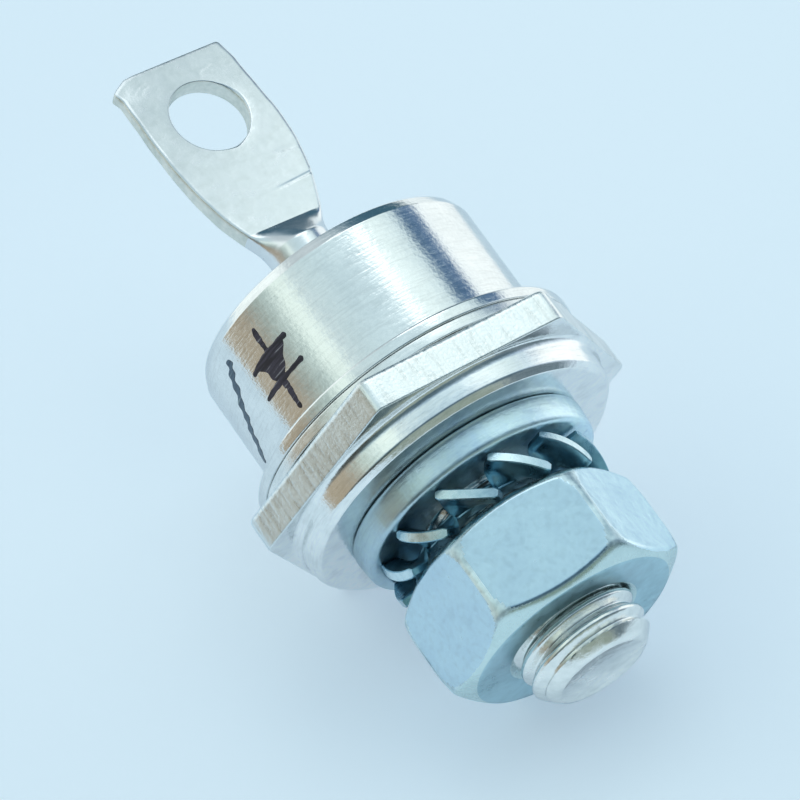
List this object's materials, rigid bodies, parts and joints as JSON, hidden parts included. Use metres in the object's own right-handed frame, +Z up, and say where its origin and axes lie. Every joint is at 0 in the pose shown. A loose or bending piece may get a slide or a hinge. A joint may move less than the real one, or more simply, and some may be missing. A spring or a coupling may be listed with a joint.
{
  "type": "stud diode",
  "caption": "Stud-mount rectifier diode: hex copper base with threaded stud, welded can, flattened tube terminal with a hole, and flat washer, toothed lock washer and nut.",
  "frame": {"origin": "middle of the part's box in X and Y, on the floor it lies on", "axes": "+X along the part from the stud's end to the terminal's tip, level; +Z up; the stud's axis rises 14.4 degrees towards +X"},
  "size_m": [0.0374, 0.02, 0.0178],
  "materials": {
    "nickel_base": "satin nickel plate on copper",
    "nickel_can": "bright nickel plate on steel",
    "seal_glass": "fused sealing glass",
    "tinned_terminal": "bright plate on copper",
    "copper": "bare copper",
    "solder": "matt solder",
    "molybdenum": "ground disc",
    "silicon": "polished silicon",
    "silicone": "cured silicone",
    "zinc_hardware": "clear zinc plate, slightly blue",
    "zinc_teeth": "clear zinc plate, slightly blue"
  },
  "bodies": {
    "root": {"base": "nickel_base", "weld_ring": "nickel_can", "can": "nickel_can", "glass_seal": "seal_glass", "terminal": "tinned_terminal", "internal_lead": "copper", "contact_cup": "copper", "lead_solder": "solder", "upper_disc": "molybdenum", "upper_solder": "solder", "die": "silicon", "junction_coating": "silicone", "lower_solder": "solder", "lower_disc": "molybdenum", "base_solder": "solder", "flat_washer": "zinc_hardware", "lock_washer": "zinc_teeth", "nut": "zinc_hardware"}
  },
  "joints": []
}
